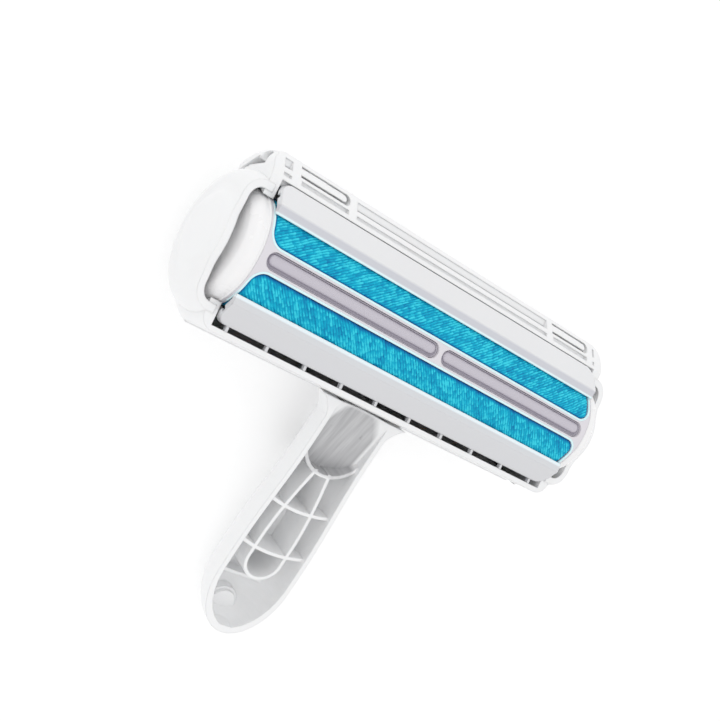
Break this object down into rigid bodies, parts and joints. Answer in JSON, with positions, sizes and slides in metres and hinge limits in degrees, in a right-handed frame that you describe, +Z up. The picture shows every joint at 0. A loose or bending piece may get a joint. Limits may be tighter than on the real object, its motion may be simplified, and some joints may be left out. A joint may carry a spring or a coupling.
{
  "type": "pet hair removal brush",
  "caption": "Hand-held pet hair removal brush: a wide head with round end covers, a swinging drum with fabric strips between two lips, a dust chamber lid at the back and a hollow curved handle.",
  "frame": {"origin": "on the table under the middle of the brush's bounding box, with the brush lying on its back", "axes": "+X along the drum, +Y from the handle to the front edge of the head, +Z up, out of the working face"},
  "size_m": [0.2, 0.176, 0.0537],
  "materials": {
    "white_shell": "glossy moulded ABS, white",
    "white_drum": "glossy moulded ABS, white",
    "grey_core": "plain moulded plastic, light grey",
    "soft_blade": "soft dark grey rubber",
    "blue_fabric": "short directional pile, bright blue",
    "pale_insert": "satin soft plastic, pale lavender grey",
    "steel": "drawn steel wire"
  },
  "bodies": {
    "base": {"housing": "white_shell", "front_lip": "white_shell", "back_lip": "white_shell", "front_wiper": "soft_blade", "back_wiper": "soft_blade", "hinge_pin_left": "white_shell", "hinge_pin_right": "white_shell", "button_axle": "steel"},
    "drum": {"drum_frame": "white_drum", "drum_core": "grey_core", "drum_cap_left": "white_drum", "drum_cap_right": "white_drum", "front_backing": "grey_core", "back_backing": "grey_core", "front_fabric": "blue_fabric", "back_fabric": "blue_fabric", "rib_insert_left": "pale_insert", "rib_insert_right": "pale_insert"},
    "lid": {"lid": "white_shell"},
    "button": {"release_button": "white_shell", "button_spring": "steel"}
  },
  "joints": [
    {"name": "drum_swing", "type": "hinge", "parent": "base", "child": "drum", "pos_m": [0, 0.0506, 0.0316], "axis": [1, 0, 0], "range_deg": [-22, 22]},
    {"name": "lid_hinge", "type": "hinge", "parent": "base", "child": "lid", "pos_m": [0, 0.08465, 0.02664], "axis": [1, 0, 0], "range_deg": [0, 95]},
    {"name": "button_press", "type": "hinge", "parent": "base", "child": "button", "pos_m": [0, 0.01247, 0.02143], "axis": [-1, 0, 0], "range_deg": [0, 10], "stiffness_Nm_per_rad": 0.12, "springref_deg": -8.59, "deforming": ["button_spring"]}
  ]
}
